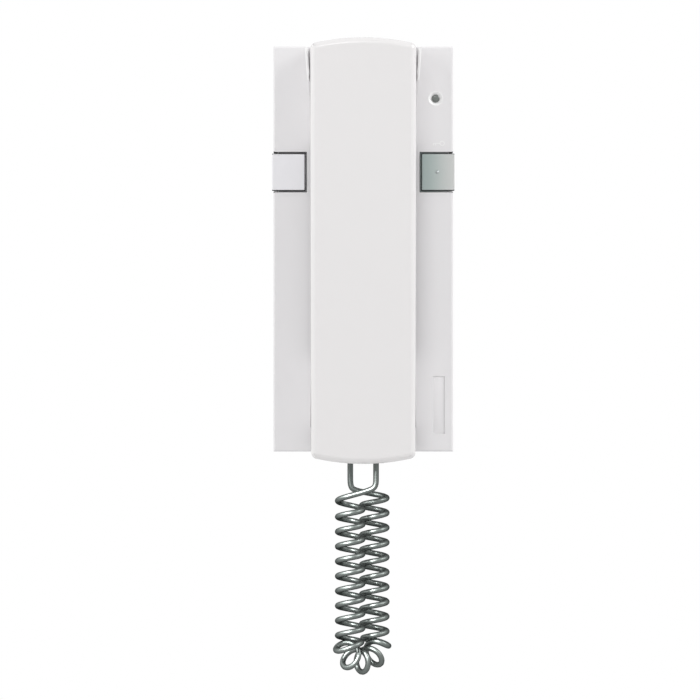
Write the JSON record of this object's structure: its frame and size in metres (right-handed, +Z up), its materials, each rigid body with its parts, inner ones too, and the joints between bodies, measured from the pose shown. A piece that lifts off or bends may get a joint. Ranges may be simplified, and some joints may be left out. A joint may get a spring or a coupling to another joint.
{
  "type": "audio intercom handset",
  "caption": "Wall-mounted audio door-entry telephone: a flat white unit with side push buttons, a lift-off handset in a cradle trough and a curly cord hanging folded in two.",
  "frame": {"origin": "middle of the wall plate's back face, on the wall", "axes": "+Z up the wall, +Y into the wall, +X to the right seen from the room"},
  "size_m": [0.0924, 0.058, 0.323],
  "materials": {
    "cover_plastic": "fine satin white",
    "handset_plastic": "smooth satin white",
    "plate_plastic": "fine matt white",
    "button_white": "fine satin white",
    "button_silver": "silver grey, fine metallic",
    "lens_grey": "smoked, glossy",
    "lamp_clear": "tinted, glossy",
    "cord_grey": "glossy dark grey",
    "plug_clear": "clear, glossy",
    "board_green": "green lacquer",
    "switch_black": "matt black",
    "terminal_plastic": "matt grey",
    "capacitor_blue": "blue sleeve",
    "screw_steel": "zinc-plated",
    "capsule_aluminium": "drawn",
    "soft_rubber": "matt"
  },
  "bodies": {
    "wall_unit": {"wall_plate": "plate_plastic", "front_cover": "cover_plastic", "cover_screw": "screw_steel", "circuit_board": "board_green", "board_screws": "screw_steel", "terminal_block": "terminal_plastic", "terminal_screws": "screw_steel", "left_switch": "switch_black", "right_switch": "switch_black", "hook_switch": "switch_black", "hook_pin": "screw_steel", "hook_spring": "screw_steel", "led": "lamp_clear", "led_lens": "lens_grey", "call_sounder": "switch_black", "volume_switch": "switch_black", "capacitors": "capacitor_blue", "line_chip": "switch_black", "base_socket": "switch_black", "base_plug": "plug_clear", "base_cord_tail": "cord_grey", "curly_cord": "cord_grey"},
    "handset": {"handset_front_shell": "handset_plastic", "handset_rear_shell": "handset_plastic", "handset_screws": "screw_steel", "receiver": "switch_black", "receiver_gasket": "soft_rubber", "microphone": "capsule_aluminium", "microphone_boot": "soft_rubber", "handset_socket": "switch_black", "handset_plug": "plug_clear", "handset_cord_tail": "cord_grey"},
    "hook": {"hook_lever": "plate_plastic"},
    "left_push": {"left_button": "button_white", "left_plunger": "terminal_plastic"},
    "right_push": {"right_button": "button_silver", "right_plunger": "terminal_plastic"},
    "volume_knob": {"volume_slider": "cover_plastic"}
  },
  "joints": [
    {"name": "handset_lift", "type": "slide", "parent": "wall_unit", "child": "handset", "axis": [0, -0.9397, 0.342], "range_m": [0, 0.09]},
    {"name": "hook_swing", "type": "hinge", "parent": "wall_unit", "child": "hook", "pos_m": [0, -0.0114, 0.088], "axis": [-1, 0, 0], "range_deg": [0, 7]},
    {"name": "left_button_press", "type": "slide", "parent": "wall_unit", "child": "left_push", "axis": [0, 1, 0], "range_m": [0, 0.0015], "stiffness_N_per_m": 300},
    {"name": "right_button_press", "type": "slide", "parent": "wall_unit", "child": "right_push", "axis": [0, 1, 0], "range_m": [0, 0.0015], "stiffness_N_per_m": 300},
    {"name": "volume_slide", "type": "slide", "parent": "wall_unit", "child": "volume_knob", "axis": [1, 0, 0], "range_m": [-0.004, 0.004]}
  ],
  "couplings": [
    {"joint": "hook_swing", "follows": "handset_lift", "rad_per_m": 1.3575}
  ]
}
